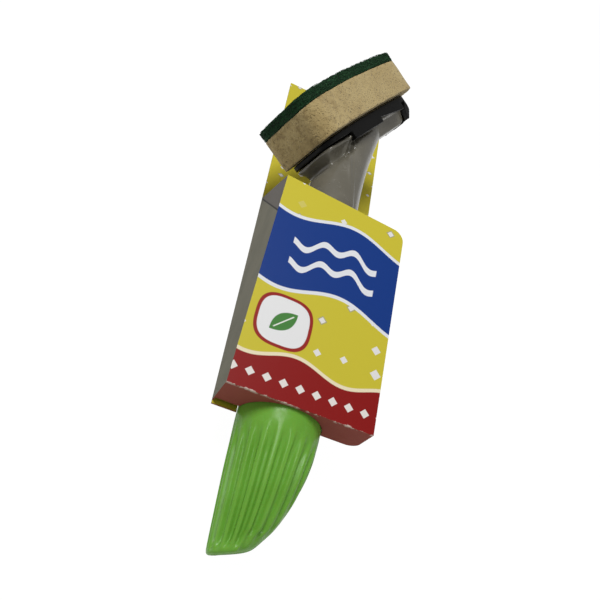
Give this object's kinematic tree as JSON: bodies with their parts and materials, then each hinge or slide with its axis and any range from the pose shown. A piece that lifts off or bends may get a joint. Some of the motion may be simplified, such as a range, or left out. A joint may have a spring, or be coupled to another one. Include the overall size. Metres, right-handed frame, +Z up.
{
  "type": "dish wand",
  "caption": "Refillable dish wand in a folded card sleeve: hollow handle with fluted screw cap, slanted head, slide-on sponge refill with scourer face.",
  "frame": {"origin": "on the floor, under the middle of the whole thing as it lies", "axes": "+Y along the handle towards the sponge head, +Z up, +X towards the head's toe"},
  "size_m": [0.091, 0.3572, 0.0861],
  "materials": {
    "smoke_plastic": "glossy, faintly clear smoke grey",
    "green_plastic": "glossy",
    "silicone": "matt",
    "ring_plastic": "satin",
    "black_plastic": "satin",
    "glue": "matt",
    "foam": "open cell sponge",
    "scourer": "coarse fibre web",
    "card": "printed, low gloss"
  },
  "bodies": {
    "wand": {"handle_body": "smoke_plastic", "outlet_valve": "silicone", "valve_retainer": "ring_plastic"},
    "seal": {"cap_seal": "silicone"},
    "cap": {"end_cap": "green_plastic"},
    "refill": {"refill_base": "black_plastic", "base_adhesive": "glue", "foam_block": "foam", "scourer_adhesive": "glue", "scourer_pad": "scourer"},
    "sleeve": {"card_sleeve": "card"}
  },
  "joints": [
    {"name": "cap_lift", "type": "slide", "parent": "wand", "child": "seal", "axis": [0, -0.9791, -0.2034], "range_m": [0, 0.009]},
    {"name": "cap_turn", "type": "hinge", "parent": "seal", "child": "cap", "pos_m": [-0.0006, -0.13257, 0.01797], "axis": [0, -0.9791, -0.2034], "range_deg": [0, 540]},
    {"name": "refill_slide", "type": "slide", "parent": "wand", "child": "refill", "axis": [0.4698, 0.8811, 0.0545], "range_m": [0, 0.1]},
    {"name": "sleeve_slide", "type": "slide", "parent": "wand", "child": "sleeve", "axis": [0, -0.9791, -0.2034], "range_m": [0, 0.17]}
  ],
  "couplings": [
    {"joint": "cap_lift", "follows": "cap_turn", "m_per_rad": 0.0009549}
  ]
}
